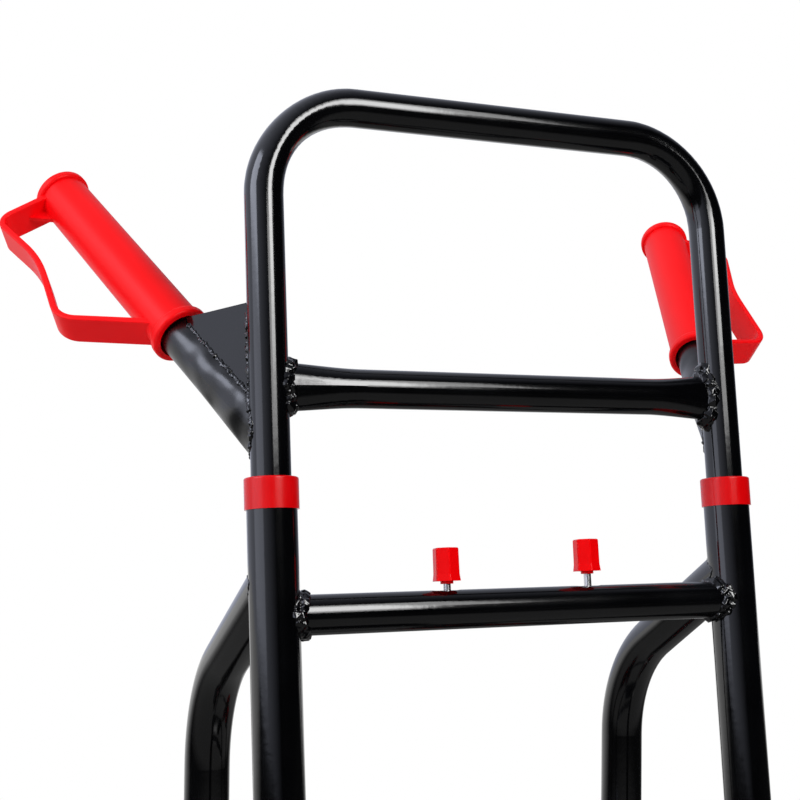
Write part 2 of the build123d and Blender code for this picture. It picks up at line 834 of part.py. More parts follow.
def build():
    both_sides("rail", make_rail())
    nodes["lock_crossbar"] = make_lock_bar()
    nodes["middle_crossbar"] = upright * make_crossbar(middle_bar_height)
    nodes["lower_crossbar"] = upright * make_crossbar(lower_bar_height)
    both_sides("collar", make_collar())
    plug = make_rail_plug()
    nodes["rail_plugs"] = Part() + [plug, mirror(plug, about=Plane.YZ)]

    both_sides("rear_tube", make_rear_tube())
    both_sides("lower_strut", make_strut())
    nodes["axle_tube"] = make_axle_tube()
    nodes["axle"] = make_axle()
    washer = make_axle_washer()
    nodes["axle_washers"] = Part() + [washer, mirror(washer, about=Plane.YZ)]
    nut = make_axle_nut()
    nodes["axle_nuts"] = Part() + [nut, mirror(nut, about=Plane.YZ)]

    nodes["toe_plate"] = make_toe_plate()
    bolts = [toe_bolt(height) for height in toe_bolt_heights]
    nuts = [toe_nut(height) for height in toe_bolt_heights]
    nodes["toe_plate_bolts"] = Part() + bolts + [mirror(bolt, about=Plane.YZ) for bolt in bolts]
    nodes["toe_plate_nuts"] = Part() + nuts + [mirror(nut, about=Plane.YZ) for nut in nuts]

    nodes["handle_loop"] = make_handle_loop()
    nodes["handle_crossbar"] = make_handle_bar()
    glide = make_leg_glide()
    nodes["leg_glides"] = Part() + [glide, mirror(glide, about=Plane.YZ)]
    both_sides("handle_stub", make_stub())
    both_sides("gusset", make_gusset())
    nodes["right_grip"] = make_grip(right_guard_turn, right_guard_bulge, right_guard_shift)
    nodes["left_grip"] = mirror(make_grip(left_guard_turn), about=Plane.YZ)

    both_sides("lock_pin", make_lock_pin())
    nodes["right_knob_bolt"] = make_knob_bolt(right_knob_gap)
    nodes["left_knob_bolt"] = mirror(make_knob_bolt(left_knob_gap), about=Plane.YZ)
    nodes["right_knob"] = make_knob(right_knob_gap, knob_turn)
    nodes["left_knob"] = mirror(make_knob(left_knob_gap, -knob_turn), about=Plane.YZ)
    nodes["lock_spring"] = make_lock_spring()

    both_sides("star_inner_plate", make_star_plate(inner_plate_x))
    both_sides("star_outer_plate", make_star_plate(outer_plate_x))
    both_sides("star_hub", make_star_hub())
    both_sides("star_bushes", make_star_bushes())
    both_sides("wheel_bolts", make_wheel_bolts())
    both_sides("wheel_nuts", make_wheel_nuts())
    tyre = make_tyre()
    rim = make_rim()
    for arm, angle in star_arms.items():
        seat = Pos(wheel_x, axle_y, axle_z) * star_arm_place(angle)
        both_sides(arm + "_tyre", seat * tyre)
        both_sides(arm + "_rim", seat * rim)


build()
os.makedirs("parts", exist_ok=True)
for name, piece in nodes.items():
    export_step(piece, "parts/" + name + ".step")
print(len(nodes), "nodes")
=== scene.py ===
import json
import math
import random

import bmesh
import bpy
from mathutils import Matrix, Vector, noise


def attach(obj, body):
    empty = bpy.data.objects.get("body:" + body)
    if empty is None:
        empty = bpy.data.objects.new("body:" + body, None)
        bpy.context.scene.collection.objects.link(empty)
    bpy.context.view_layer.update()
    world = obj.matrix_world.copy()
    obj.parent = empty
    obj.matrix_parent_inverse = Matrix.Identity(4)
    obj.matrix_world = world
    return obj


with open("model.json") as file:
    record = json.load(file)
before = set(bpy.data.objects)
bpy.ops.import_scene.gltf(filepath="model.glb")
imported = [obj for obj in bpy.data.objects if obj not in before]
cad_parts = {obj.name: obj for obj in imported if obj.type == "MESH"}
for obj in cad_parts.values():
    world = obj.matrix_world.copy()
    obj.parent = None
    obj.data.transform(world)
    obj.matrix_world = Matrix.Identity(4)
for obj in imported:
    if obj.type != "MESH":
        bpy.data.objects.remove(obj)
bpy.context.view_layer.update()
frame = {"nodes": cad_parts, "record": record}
scene = bpy.context.scene
scene.view_settings.view_transform = "Standard"

# Sizes of the frame that the welds follow, in metres
MM = 0.001
RAIL_LEAN = math.radians(5.5)
RAIL_FOOT_Y = 133.4735 * MM
HALF_SPACING = 170.0 * MM
RAIL_RADIUS = 15.9 * MM
LEG_RADIUS = 12.7 * MM
BAR_RADIUS = 12.7 * MM
LOCK_BAR = 680.0 * MM
MIDDLE_BAR = 430.0 * MM
LOWER_BAR = 215.0 * MM
HANDLE_BAR = 823.0 * MM
HANDLE_BAR_CRIMP = (25.4 * MM, 32.0 * MM, 62.0 * MM)
STUB_HEIGHT = 790.0 * MM
STUB_CRIMP = (30.0 * MM, 35.0 * MM, 74.0 * MM)
STUB_FLARE = math.radians(26.0)
STUB_TILT = math.radians(43.9)
GUSSET_FACES = (3.0 * MM, 7.0 * MM)
GUSSET_HEIGHT = 87.8 * MM
GUSSET_WELD_END = 106.0 * MM
REAR_TUBE_HEIGHT = 701.2 * MM
REAR_TUBE_DROP = math.radians(24.6)
REAR_TUBE_REACH = 152.3 * MM
AXLE_SETBACK = 228.0 * MM
AXLE_HEIGHT = 135.0 * MM
AXLE_TUBE_RADIUS = 17.1 * MM
STAR_HUB_RADIUS = 17.08 * MM
STAR_HUB_ENDS = (204.4 * MM, 255.4 * MM)
AXLE_BEHIND = AXLE_SETBACK * math.cos(RAIL_LEAN) - AXLE_HEIGHT * math.sin(RAIL_LEAN)
AXLE_ALONG = AXLE_SETBACK * math.sin(RAIL_LEAN) + AXLE_HEIGHT * math.cos(RAIL_LEAN)

X_AXIS = Vector((1, 0, 0))
Y_AXIS = Vector((0, 1, 0))
Z_AXIS = Vector((0, 0, 1))

# From the upright, along which the heights of bars and tubes are given, to the shared frame
UPRIGHT = Matrix.Translation((0, RAIL_FOOT_Y, 0)) @ Matrix.Rotation(-RAIL_LEAN, 4, "X")


# Materials


class Nodes:
    """Short hand for building one material's node tree."""

    def __init__(self, name):
        self.material = bpy.data.materials.new(name)
        self.material.use_nodes = True
        self.tree = self.material.node_tree
        self.tree.nodes.clear()
        self.shader = self.add("ShaderNodeBsdfPrincipled")
        output = self.add("ShaderNodeOutputMaterial")
        self.link(self.shader.outputs["BSDF"], output.inputs["Surface"])
        self.place = self.add("ShaderNodeTexCoord").outputs["Object"]

    def add(self, kind, **settings):
        node = self.tree.nodes.new(kind)
        for key, value in settings.items():
            setattr(node, key, value)
        return node

    def link(self, source, target):
        self.tree.links.new(source, target)

    def set(self, **values):
        """Uniform values on the shader's own sockets."""
        for key, value in values.items():
            self.shader.inputs[key.replace("_", " ")].default_value = value

    def noise(self, scale, detail=2.0, roughness=0.5, stretch=None):
        """Noise at so many waves to the metre, stretched along an axis where given."""
        node = self.add("ShaderNodeTexNoise")
        node.inputs["Scale"].default_value = scale
        node.inputs["Detail"].default_value = detail
        node.inputs["Roughness"].default_value = roughness
        place = self.place
        if stretch:
            mapping = self.add("ShaderNodeMapping")
            mapping.inputs["Scale"].default_value = stretch
            self.link(place, mapping.inputs["Vector"])
            place = mapping.outputs["Vector"]
        self.link(place, node.inputs["Vector"])
        return node.outputs["Fac"]

    def spread(self, value, low, high, start=0.3, end=0.7):
        """Noise value spread over a range of numbers."""
        node = self.add("ShaderNodeMapRange")
        node.inputs["From Min"].default_value = start
        node.inputs["From Max"].default_value = end
        node.inputs["To Min"].default_value = low
        node.inputs["To Max"].default_value = high
        self.link(value, node.inputs["Value"])
        return node.outputs["Result"]

    def ramp(self, value, stops):
        """Colour ramp over pairs of place and colour."""
        node = self.add("ShaderNodeValToRGB")
        elements = node.color_ramp.elements
        while len(elements) < len(stops):
            elements.new(0.5)
        for element, (place, colour) in zip(elements, stops):
            element.position = place
            element.color = (*colour, 1.0)
        self.link(value, node.inputs["Fac"])
        return node.outputs["Color"]

    def bump(self, layers):
        """Stacked bumps from (height, strength, distance in metres)."""
        normal = None
        for height, strength, distance in layers:
            node = self.add("ShaderNodeBump")
            node.inputs["Strength"].default_value = strength
            node.inputs["Distance"].default_value = distance
            self.link(height, node.inputs["Height"])
            if normal:
                self.link(normal, node.inputs["Normal"])
            normal = node.outputs["Normal"]
        self.link(normal, self.shader.inputs["Normal"])

    def colour(self, source):
        self.link(source, self.shader.inputs["Base Color"])

    def rough(self, source):
        self.link(source, self.shader.inputs["Roughness"])


def make_black_paint(name, roughness, dents=0.0):
    """Gloss black coat with slight orange peel and hazy patches, over dents of a given depth."""
    nodes = Nodes(name)
    patches = nodes.noise(14.0, 4.0, 0.6)
    peel = nodes.noise(210.0, 2.0)
    dust = nodes.noise(1900.0, 3.0, 0.7)
    nodes.colour(nodes.ramp(patches, [(0.3, (0.0004, 0.0004, 0.0006)), (0.7, (0.0012, 0.0013, 0.0017))]))
    nodes.rough(nodes.spread(patches, *roughness))
    layers = [(peel, 0.12, 0.00025), (dust, 0.05, 0.00004)]
    if dents:
        layers.append((nodes.noise(24.0, 1.0), 1.0, dents))
    nodes.bump(layers)
    nodes.set(IOR=1.6)
    return nodes.material


def make_red_grip():
    """Satin moulded plastic with a fine spark-eroded grain."""
    nodes = Nodes("red_grip_moulding")
    clouds = nodes.noise(22.0, 3.0, 0.55)
    grain = nodes.noise(2600.0, 2.0, 0.6)
    flow = nodes.noise(90.0, 2.0, 0.5, stretch=(1.0, 1.0, 0.25))
    nodes.colour(nodes.ramp(clouds, [(0.3, (0.87, 0.0006, 0.0024)), (0.7, (0.91, 0.0012, 0.0042))]))
    nodes.rough(nodes.spread(grain, 0.36, 0.46))
    nodes.bump([(flow, 0.05, 0.0002)])
    nodes.set(Specular_IOR_Level=0.15)
    return nodes.material


def make_red_gloss(name, dull, bright, specular):
    """Gloss moulded plastic of the collars and knobs, between a dull and a bright red."""
    nodes = Nodes(name)
    clouds = nodes.noise(40.0, 3.0, 0.55)
    sink = nodes.noise(150.0, 2.0)
    nodes.colour(nodes.ramp(clouds, [(0.3, (dull, 0.0004, 0.0014)), (0.7, (bright, 0.0010, 0.0028))]))
    nodes.rough(nodes.spread(clouds, 0.16, 0.26))
    nodes.bump([(sink, 0.10, 0.0002)])
    nodes.set(Specular_IOR_Level=specular)
    return nodes.material


def make_red_wheel():
    """Moulded wheel centre: slightly matt, with faint flow marks."""
    nodes = Nodes("red_wheel_moulding")
    clouds = nodes.noise(30.0, 4.0, 0.6)
    flow = nodes.noise(120.0, 3.0, 0.5, stretch=(0.3, 1.0, 1.0))
    grain = nodes.noise(2200.0, 2.0)
    nodes.colour(nodes.ramp(clouds, [(0.3, (0.64, 0.0010, 0.0030)), (0.7, (0.72, 0.0020, 0.0050))]))
    nodes.rough(nodes.spread(flow, 0.28, 0.42))
    nodes.bump([(flow, 0.08, 0.0002), (grain, 0.08, 0.00005)])
    return nodes.material


def make_rubber():
    """Solid rubber: fine grain, a greyish bloom in patches."""
    nodes = Nodes("tyre_rubber_grain")
    bloom = nodes.noise(26.0, 5.0, 0.65)
    grain = nodes.noise(1500.0, 3.0, 0.7)
    pores = nodes.noise(420.0, 2.0, 0.5)
    nodes.colour(nodes.ramp(bloom, [(0.3, (0.012, 0.012, 0.0125)), (0.72, (0.032, 0.0315, 0.031))]))
    nodes.rough(nodes.spread(bloom, 0.62, 0.82))
    nodes.bump([(pores, 0.15, 0.0003), (grain, 0.25, 0.0001)])
    nodes.set(Specular_IOR_Level=0.35)
    return nodes.material


def make_zinc():
    """Bright zinc plating with fine rubbed marks."""
    nodes = Nodes("zinc_plating")
    tone = nodes.noise(60.0, 3.0, 0.6)
    rub = nodes.noise(900.0, 3.0, 0.6, stretch=(1.0, 1.0, 0.15))
    nodes.colour(nodes.ramp(tone, [(0.3, (0.56, 0.57, 0.58)), (0.7, (0.68, 0.68, 0.67))]))
    nodes.rough(nodes.spread(rub, 0.20, 0.36))
    nodes.bump([(rub, 0.08, 0.00005)])
    nodes.set(Metallic=1.0)
    return nodes.material


def make_black_plastic():
    """Matt moulded plastic of the plugs and glides."""
    nodes = Nodes("black_plastic_moulding")
    clouds = nodes.noise(50.0, 3.0)
    grain = nodes.noise(1800.0, 2.0, 0.6)
    nodes.colour(nodes.ramp(clouds, [(0.3, (0.014, 0.014, 0.015)), (0.7, (0.024, 0.024, 0.025))]))
    nodes.rough(nodes.spread(clouds, 0.48, 0.60))
    nodes.bump([(grain, 0.20, 0.00008)])
    nodes.set(Specular_IOR_Level=0.4)
    return nodes.material


def make_nylon():
    """Natural nylon of the bearings."""
    nodes = Nodes("bearing_nylon_moulding")
    clouds = nodes.noise(70.0, 3.0)
    grain = nodes.noise(1600.0, 2.0)
    nodes.colour(nodes.ramp(clouds, [(0.3, (0.66, 0.64, 0.57)), (0.7, (0.74, 0.72, 0.66))]))
    nodes.rough(nodes.spread(clouds, 0.38, 0.5))
    nodes.bump([(grain, 0.08, 0.00005)])
    nodes.set(Specular_IOR_Level=0.45)
    return nodes.material


MATERIALS = {
    "black_paint": make_black_paint("black_paint_coat", (0.08, 0.14)),
    "red_grip_plastic": make_red_grip(),
    "red_gloss_plastic": make_red_gloss("red_knob_moulding", 0.79, 0.84, 0.10),
    "red_wheel_plastic": make_red_wheel(),
    "tyre_rubber": make_rubber(),
    "zinc_steel": make_zinc(),
    "black_plastic": make_black_plastic(),
    "bearing_nylon": make_nylon(),
}

# Nodes with a finish of their own: the stubs' pressed tubes, and the glossier collars, whose darker red
# is painted shade on the knobs' plastic
PRESSED_PAINT = make_black_paint("pressed_tube_coat", (0.24, 0.32), 0.0130)
# The collars' red (0.58 to 0.63, against the knobs' 0.79 to 0.84) is painted shade; their higher
# specular is their own gloss
SHADED_COLLAR_GLOSS = make_red_gloss("red_collar_shaded_moulding", 0.58, 0.63, 0.30)
OWN_MATERIALS = {
    "left_handle_stub": PRESSED_PAINT,
    "right_handle_stub": PRESSED_PAINT,
    "left_collar": SHADED_COLLAR_GLOSS,
    "right_collar": SHADED_COLLAR_GLOSS,
}

for part in frame["record"]["subparts"]:
    node = frame["nodes"][part["node"]]
    node.data.materials.clear()
    node.data.materials.append(OWN_MATERIALS.get(part["node"], MATERIALS[part["material_slot"]]))


# Weld beads

BAR_BEAD = 3.7 * MM
BAR_BEAD_ROWS = ((0.6 * MM, 0.0), (4.4 * MM, 0.0))
HANDLE_BEAD = 4.3 * MM
LEFT_HANDLE_ROWS = ((0.4 * MM, 2.0 * MM), (3.0 * MM, 0.0))
RIGHT_HANDLE_ROWS = ((0.4 * MM, 6.0 * MM), (3.0 * MM, 2.5 * MM))
REAR_BEAD = 1.0 * MM
HUB_BEAD = 1.8 * MM
AXLE_BEAD = 3.2 * MM
STUB_BEAD = 2.3 * MM
GUSSET_BEAD = 2.3 * MM
GUSSET_EDGE_BEAD = 2.9 * MM
BEAD_STEP = 0.5 * MM
SEAM_STEP = 0.5 * MM
SEAM_POINTS = 80
SADDLE_ROUNDS = 4
VOXEL = 0.45 * MM

# Lumps of a bead, in shares of its radius
LUMP_SIZE = (0.80, 1.20)
LUMP_LENGTH = (0.85, 1.45)
LUMP_PITCH = (0.95, 1.65)
LUMP_SHIFT = (-0.25, 0.25)
LUMP_SINK = 0.34
LUMP_RADIUS = 1.12
BEAD_END = 0.6
LUMP_TURN = (-0.5, 0.5)
LUMP_ROLL = (0.0, 2 * math.pi)

# Waves of the beads' skin, as waves to the metre and height in millimetres
COARSE_WAVE = (420.0, 0.18)
FINE_WAVE = (1300.0, 0.05)


def crimp(sizes, place):
    """Half width and half height of a pressed tube at a distance from the leg's axis."""
    diameter, end_height, length = sizes
    share = min(max(place / length, 0.0), 1.0)
    ease = 1 - share * share * (3 - 2 * share)
    height = diameter + (end_height - diameter) * ease
    return math.sqrt(2 * diameter**2 - height**2) / 2, height / 2


def round_tube(radius):
    return lambda place: (radius, radius)


def pressed_tube(sizes):
    return lambda place: crimp(sizes, place)


def saddle(origin, along, across, size, host_along, host_radius, count=180):
    """Ring where a tube leaves a round host, as points with the way out of the corner.

    The tube starts at origin on the host's axis and runs along; size gives its half width and
    half height at a distance.
    """
    along = along.normalized()
    upright = along.cross(across).normalized()
    ring = []
    for step in range(count):
        turn = 2 * math.pi * step / count
        place = host_radius
        for _ in range(SADDLE_ROUNDS):
            half_width, half_height = size(place)
            offset = across * (half_width * math.cos(turn))
            offset = offset + upright * (half_height * math.sin(turn))
            flat_offset = offset - host_along * offset.dot(host_along)
            flat_along = along - host_along * along.dot(host_along)
            a = flat_along.length_squared
            b = flat_offset.dot(flat_along)
            c = flat_offset.length_squared - host_radius**2
            place = (-b + math.sqrt(max(b * b - a * c, 0.0))) / a
        point = origin + offset + along * place
        host_normal = (flat_offset + flat_along * place).normalized()
        tube_normal = across * (math.cos(turn) / half_width)
        tube_normal = tube_normal + upright * (math.sin(turn) / half_height)
        ring.append((point, (host_normal + tube_normal.normalized()).normalized()))
    return ring


def line(start, end, way_out, count=60):
    """Straight run of points with one way out."""
    return [(start.lerp(end, step / (count - 1)), way_out) for step in range(count)]


def circle(centre, axis, radius, way_out, count=120):
    """Ring about an axis with a way out that leans along the axis."""
    side = axis.orthogonal().normalized()
    other = axis.cross(side)
    ring = []
    for step in range(count):
        turn = 2 * math.pi * step / count
        radial = side * math.cos(turn) + other * math.sin(turn)
        ring.append((centre + radial * radius, (radial + way_out).normalized()))
    return ring


def resample(path, closed):
    """Points at an even step along a path."""
    points = path + [path[0]] if closed else path
    lengths = [0.0]
    for first, second in zip(points, points[1:]):
        lengths.append(lengths[-1] + (second[0] - first[0]).length)
    total = lengths[-1]
    count = max(8, round(total / BEAD_STEP))
    even = []
    index = 0
    for step in range(count if closed else count + 1):
        place = total * step / count
        while index < len(lengths) - 2 and lengths[index + 1] < place:
            index += 1
        gap = lengths[index + 1] - lengths[index]
        share = (place - lengths[index]) / gap if gap else 0.0
        first, second = points[index], points[index + 1]
        point = first[0].lerp(second[0], share)
        even.append((point, first[1].lerp(second[1], share).normalized()))
    return even, total


def add_bead(mesh, path, radius, closed, rng):
    """Row of overlapping angular lumps laid in the corner of two pieces."""
    even, total = resample(path, closed)
    last = len(even) - 1
    place = 0.0 if closed else BEAD_END * radius
    end = total if closed else total - BEAD_END * radius
    while place < end:
        index = min(round(place / total * last), last)
        point, way_out = even[index]
        ahead = (even[min(index + 2, last)][0] - even[max(index - 2, 0)][0]).normalized()
        aside = ahead.cross(way_out).normalized()
        upward = aside.cross(ahead).normalized()
        size = radius * rng.uniform(*LUMP_SIZE)
        centre = point - upward * (LUMP_SINK * radius) + aside * (rng.uniform(*LUMP_SHIFT) * radius)
        length = size * rng.uniform(*LUMP_LENGTH)
        axes = Matrix((ahead * length, aside * size, upward * size)).transposed()
        turn = Matrix.Rotation(rng.uniform(*LUMP_TURN), 3, upward)
        roll = Matrix.Rotation(rng.uniform(*LUMP_ROLL), 3, X_AXIS)
        place_at = Matrix.Translation(centre) @ (turn @ axes @ roll).to_4x4()
        bmesh.ops.create_icosphere(mesh, subdivisions=1, radius=LUMP_RADIUS, matrix=place_at)
        place += radius * rng.uniform(*LUMP_PITCH)


def fuse(name, mesh):
    """One skin round all the lumps, with a slightly rough surface."""
    data = bpy.data.meshes.new(name + "_lumps")
    mesh.to_mesh(data)
    mesh.free()
    lumps = bpy.data.objects.new(name + "_lumps", data)
    scene.collection.objects.link(lumps)
    skin = lumps.modifiers.new("skin", "REMESH")
    skin.mode = "VOXEL"
    skin.voxel_size = VOXEL
    depsgraph = bpy.context.evaluated_depsgraph_get()
    fused = bpy.data.meshes.new_from_object(lumps.evaluated_get(depsgraph))
    fused.name = name
    bpy.data.objects.remove(lumps)
    normals = [normal.vector.copy() for normal in fused.vertex_normals]
    places = []
    for vertex, normal in zip(fused.vertices, normals):
        swell = 0.0
        for waves, height in (COARSE_WAVE, FINE_WAVE):
            swell += noise.noise(vertex.co * waves) * height
        places.extend(vertex.co + normal * (swell * MM))
    fused.vertices.foreach_set("co", places)
    fused.update()
    return fused


def make_welds(name, body, beads, seed, seat=UPRIGHT):
    """One piece of weld beads that rides on a body. Beads are (path, radius, closed)."""
    rng = random.Random(seed)
    mesh = bmesh.new()
    for path, radius, closed in beads:
        moved = [(seat @ point, (seat.to_3x3() @ way_out).normalized()) for point, way_out in path]
        add_bead(mesh, moved, radius, closed, rng)
    data = fuse(name, mesh)
    data.polygons.foreach_set("use_smooth", [True] * len(data.polygons))
    data.materials.append(MATERIALS["black_paint"])
    piece = bpy.data.objects.new(name, data)
    scene.collection.objects.link(piece)
    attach(piece, body)


def mirrored(path, side):
    """Path of the right side, mirrored to the left where side is -1."""
    flip = Vector((side, 1, 1))
    return [(point * flip, way_out * flip) for point, way_out in path]


def crossbar_ends(height, size, host_radius, radius, left_rows, right_rows):
    """Rows of bead round both ends of a crossbar, as (way in from the host, spread up and down)."""
    ring = saddle(Vector((HALF_SPACING, 0, height)), -X_AXIS, Y_AXIS, size, Z_AXIS, host_radius)
    half_height = max(point.z for point, _ in ring) - height
    beads = []
    for pair in zip(left_rows, right_rows):
        for side, (inward, spread) in zip((-1, 1), pair):
            row = []
            for point, way_out in ring:
                rise = Z_AXIS * (spread * (point.z - height) / half_height)
                row.append((point - X_AXIS * inward + rise, way_out))
            beads.append((mirrored(row, side), radius, True))
    return beads


def stub_welds(side):
    """Beads of a handle stub and its gusset."""
    flare_sin, flare_cos = math.sin(STUB_FLARE), math.cos(STUB_FLARE)
    tilt_sin, tilt_cos = math.sin(STUB_TILT), math.cos(STUB_TILT)
    origin = Vector((HALF_SPACING, 0, STUB_HEIGHT))
    along = Vector((flare_sin * tilt_cos, flare_cos * tilt_cos, tilt_sin))
    across = Vector((flare_cos, -flare_sin, 0))
    outward = Vector((flare_sin, flare_cos, 0))
    top = along.cross(across) * -1
    ring = saddle(origin, along, across, pressed_tube(STUB_CRIMP), Z_AXIS, LEG_RADIUS)
    beads = [(mirrored(ring, side), STUB_BEAD, True)]
    for place_across, face in zip(GUSSET_FACES, (-1, 1)):
        shift = across * place_across
        reach = math.sqrt(LEG_RADIUS**2 - place_across**2)

        def on_stub(place):
            half_width, half_height = crimp(STUB_CRIMP, place)
            rise = half_height * math.sqrt(1 - (place_across / half_width) ** 2)
            return origin + shift + along * place + top * rise

        low = 0.0
        while (on_stub(low) - origin).dot(outward) < reach:
            low += SEAM_STEP
        seam = []
        for step in range(SEAM_POINTS):
            place = low + (GUSSET_WELD_END - low) * step / (SEAM_POINTS - 1)
            seam.append((on_stub(place), (top + across * face).normalized()))
        start = origin + shift + outward * reach
        start.z = on_stub(low).z
        end = start.copy()
        end.z = origin.z + GUSSET_HEIGHT - GUSSET_EDGE_BEAD
        edge = line(start, end, (outward + across * face).normalized())
        beads.append((mirrored(seam, side), GUSSET_BEAD, False))
        beads.append((mirrored(edge, side), GUSSET_EDGE_BEAD, False))
    return beads


def rear_welds(side):
    """Beads of a rear tube and of a lower strut, at the rail and at the axle tube."""
    rail_seat = Vector((HALF_SPACING, 0, REAR_TUBE_HEIGHT))
    down = Vector((0, math.cos(REAR_TUBE_DROP), -math.sin(REAR_TUBE_DROP)))
    axle = Vector((HALF_SPACING, AXLE_BEHIND, AXLE_ALONG))
    corner = rail_seat + down * (REAR_TUBE_REACH / math.cos(REAR_TUBE_DROP))
    strut_seat = Vector((HALF_SPACING, 0, AXLE_ALONG))
    tube = round_tube(RAIL_RADIUS)
    strut = round_tube(BAR_RADIUS)
    rings = (
        (saddle(rail_seat, down, X_AXIS, tube, Z_AXIS, RAIL_RADIUS), REAR_BEAD),
        (saddle(axle, corner - axle, X_AXIS, tube, X_AXIS, AXLE_TUBE_RADIUS), AXLE_BEAD),
        (saddle(strut_seat, Y_AXIS, X_AXIS, strut, Z_AXIS, RAIL_RADIUS), AXLE_BEAD),
        (saddle(axle, -Y_AXIS, X_AXIS, strut, X_AXIS, AXLE_TUBE_RADIUS), AXLE_BEAD),
    )
    return [(mirrored(ring, side), radius, True) for ring, radius in rings]


def star_welds(side):
    """Beads round both ends of a star's hub."""
    centre = Vector((0, RAIL_FOOT_Y + AXLE_SETBACK, AXLE_HEIGHT))
    beads = []
    for place, way in zip(STAR_HUB_ENDS, (1, -1)):
        middle = centre + X_AXIS * place
        ring = circle(middle, X_AXIS, STAR_HUB_RADIUS, X_AXIS * way)
        beads.append((mirrored(ring, side), HUB_BEAD, True))
    return beads


# Crossbars as name, height and seed, and sides as name, way along X and first seed
RAIL_BARS = (("lock", LOCK_BAR, 11), ("middle", MIDDLE_BAR, 12), ("lower", LOWER_BAR, 13))
HANDLE_BAR_SEED = 14
SIDES = (("left", -1, 20), ("right", 1, 30))

bar = round_tube(BAR_RADIUS)
handle_bar = pressed_tube(HANDLE_BAR_CRIMP)
for name, height, seed in RAIL_BARS:
    beads = crossbar_ends(height, bar, RAIL_RADIUS, BAR_BEAD, BAR_BEAD_ROWS, BAR_BEAD_ROWS)
    make_welds(name + "_crossbar_welds", "frame", beads, seed)
rows = (LEFT_HANDLE_ROWS, RIGHT_HANDLE_ROWS)
beads = crossbar_ends(HANDLE_BAR, handle_bar, LEG_RADIUS, HANDLE_BEAD, *rows)
make_welds("handle_crossbar_welds", "handle", beads, HANDLE_BAR_SEED)
for side, way, seed in SIDES:
    make_welds(side + "_stub_welds", "handle", stub_welds(way), seed)
    make_welds(side + "_rear_tube_welds", "frame", rear_welds(way), seed + 1)
    make_welds(side + "_star_welds", side + "_star", star_welds(way), seed + 2, Matrix.Identity(4))


# Floor, world, lights and camera

FLOOR_HALF = 12.0
FLOOR_CELLS = 24
FLOOR_DROP = 0.0005
FLOOR_FADE = (1.5, 2.5)
REAR_FADE = (1.2, 3.0)
FRONT_FADE = (1.3, 2.1)
FLOOR_GLOSS = (0.18, 0.02)
ROOM_SLANT = (-0.75, 0.66, 0.05)
ROOM_FADE = (-0.60, 0.70)
ROOM_LIGHT = (0.01, 1.0)
ROOM_COLOUR = (0.80, 0.84, 1.0, 1.0)
WHITE = (1.0, 1.0, 1.0, 1.0)

# Lamps as name, place, target, size, brightness, colour and share of soft edge
UPPER_FRAME = (0.0, 0.2, 0.85)
PANEL_LIGHT = 4.2
LOW_PANEL_LIGHT = 0.95
NEUTRAL = (1.0, 1.0, 1.0)
COOL = (0.90, 0.95, 1.12)
SOFT_EDGE = 0.15
KEY_LOOK = (PANEL_LIGHT, NEUTRAL, 0.0)
LEFT_LOOK = (PANEL_LIGHT, COOL, SOFT_EDGE)
LOW_LOOK = (LOW_PANEL_LIGHT, COOL, SOFT_EDGE)
LAMPS = (
    ("key_panel", (0.31, -1.87, 1.51), UPPER_FRAME, (1.14, 0.55), *KEY_LOOK),
    ("high_key_panel", (0.55, -1.50, 2.13), UPPER_FRAME, (1.03, 0.90), *KEY_LOOK),
    ("key_core", (0.45, -1.544, 1.828), UPPER_FRAME, (0.74, 0.98), *KEY_LOOK),
    ("key_heart", (0.50, -1.532, 1.828), UPPER_FRAME, (0.60, 0.70), *KEY_LOOK),
    ("left_panel", (-1.70, 0.03, 1.87), (0.0, 0.03, 1.65), (1.37, 1.265), *LEFT_LOOK),
    ("left_low_panel", (-1.70, -0.06, 0.97), (0.0, -0.06, 0.97), (1.587, 0.759), *LOW_LOOK),
)

CAMERA_PLACE = (-0.4525, -0.6506, 0.7565)
CAMERA_FORWARD = (0.3954, 0.9166, 0.0597)
CAMERA_RIGHT = (0.9182, -0.3961, -0.0013)
CAMERA_SENSOR = 36.0
CAMERA_LENS = 64.935


def math_of(tree, operation, first, second):
    """Output of a maths node on two sockets."""
    node = tree.nodes.new("ShaderNodeMath")
    node.operation = operation
    tree.links.new(first, node.inputs[0])
    tree.links.new(second, node.inputs[1])
    return node.outputs[0]


def plain_rays(tree):
    """1 for rays that show the background as it is: from the camera or through a clear surface."""
    path = tree.nodes.new("ShaderNodeLightPath")
    return math_of(tree, "MAXIMUM", path.outputs["Is Camera Ray"], path.outputs["Is Transmission Ray"])


